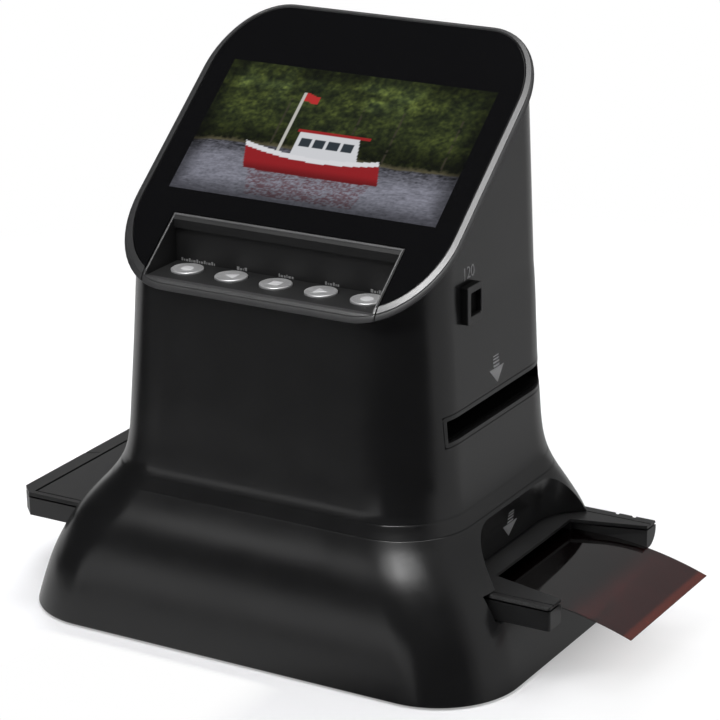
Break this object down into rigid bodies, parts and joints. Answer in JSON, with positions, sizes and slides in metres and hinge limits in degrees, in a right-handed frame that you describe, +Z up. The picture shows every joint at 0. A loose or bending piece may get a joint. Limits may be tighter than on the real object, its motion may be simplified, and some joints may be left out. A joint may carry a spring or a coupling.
{
  "type": "film negative scanner",
  "caption": "Desktop film scanner: flared base, tower with a sloping screen over a row of buttons, a slot for small film and a sliding tray holding roll film.",
  "frame": {"origin": "on the table, under the middle of the box round the whole object, tray and film included", "axes": "+X along the film path, to the side where the film comes out; +Z up; the front with the buttons faces -Y"},
  "size_m": [0.246, 0.129, 0.2069],
  "materials": {
    "body_black": "satin black moulded plastic with a very fine grain",
    "inner_black": "plain matte black moulded plastic",
    "tray_black": "fine-grained matte dark grey plastic",
    "frame_black": "satin dark grey plastic",
    "knob_black": "black plastic, a little glossy",
    "window_black": "polished acrylic, black round the picture",
    "display_black": "smooth dark face",
    "button_silver": "silver paint, semi-gloss",
    "foot_rubber": "soft black rubber",
    "bright_steel": "plated steel",
    "sheet_steel": "pressed and zinc plated sheet",
    "circuit_green": "green solder mask",
    "opal_white": "opal acrylic",
    "lens_glass": "polished",
    "ribbon_amber": "amber film",
    "film_brown": "clear dark brown film, glossy"
  },
  "bodies": {
    "housing": {"base_shell": "body_black", "tower_shell": "body_black", "upper_film_guide": "body_black", "bottom_plate": "inner_black", "tray_deck": "inner_black", "tray_cover": "inner_black", "selector_housing": "inner_black", "lens_barrel": "inner_black", "bezel_frame": "frame_black", "button_well": "frame_black", "screen_window": "window_black", "lcd_panel": "display_black", "image_sensor": "display_black", "foot_1": "foot_rubber", "foot_2": "foot_rubber", "foot_3": "foot_rubber", "foot_4": "foot_rubber", "bottom_screw_1": "bright_steel", "bottom_screw_2": "bright_steel", "bottom_screw_3": "bright_steel", "bottom_screw_4": "bright_steel", "usb_socket": "bright_steel", "card_socket": "bright_steel", "camera_bracket": "sheet_steel", "lcd_bracket": "sheet_steel", "sensor_board": "circuit_green", "main_board": "circuit_green", "button_board": "circuit_green", "diffuser": "opal_white", "backlight_panel": "opal_white", "front_lens": "lens_glass", "display_ribbon": "ribbon_amber"},
    "button_1": {"button_1": "button_silver"},
    "button_2": {"button_2": "button_silver"},
    "button_3": {"button_3": "button_silver"},
    "button_4": {"button_4": "button_silver"},
    "button_5": {"button_5": "button_silver"},
    "selector": {"selector_knob": "knob_black", "selector_clip": "inner_black"},
    "tray": {"tray_body": "tray_black", "tray_lid": "tray_black", "tray_hinge_pin_1": "bright_steel", "tray_hinge_pin_2": "bright_steel"},
    "film": {"film_strip": "film_brown"}
  },
  "joints": [
    {"name": "button_1_press", "type": "slide", "parent": "housing", "child": "button_1", "axis": [0, 0, -1], "range_m": [0, 0.0008], "stiffness_N_per_m": 800},
    {"name": "button_2_press", "type": "slide", "parent": "housing", "child": "button_2", "axis": [0, 0, -1], "range_m": [0, 0.0008], "stiffness_N_per_m": 800},
    {"name": "button_3_press", "type": "slide", "parent": "housing", "child": "button_3", "axis": [0, 0, -1], "range_m": [0, 0.0008], "stiffness_N_per_m": 800},
    {"name": "button_4_press", "type": "slide", "parent": "housing", "child": "button_4", "axis": [0, 0, -1], "range_m": [0, 0.0008], "stiffness_N_per_m": 800},
    {"name": "button_5_press", "type": "slide", "parent": "housing", "child": "button_5", "axis": [0, 0, -1], "range_m": [0, 0.0008], "stiffness_N_per_m": 800},
    {"name": "selector_slide", "type": "slide", "parent": "housing", "child": "selector", "axis": [0, 0, -1], "range_m": [0, 0.004]},
    {"name": "tray_slide", "type": "slide", "parent": "housing", "child": "tray", "axis": [1, 0, 0], "range_m": [-0.056, 0.056]},
    {"name": "film_slide", "type": "slide", "parent": "tray", "child": "film", "axis": [1, 0, 0], "range_m": [0, 0.06]}
  ]
}
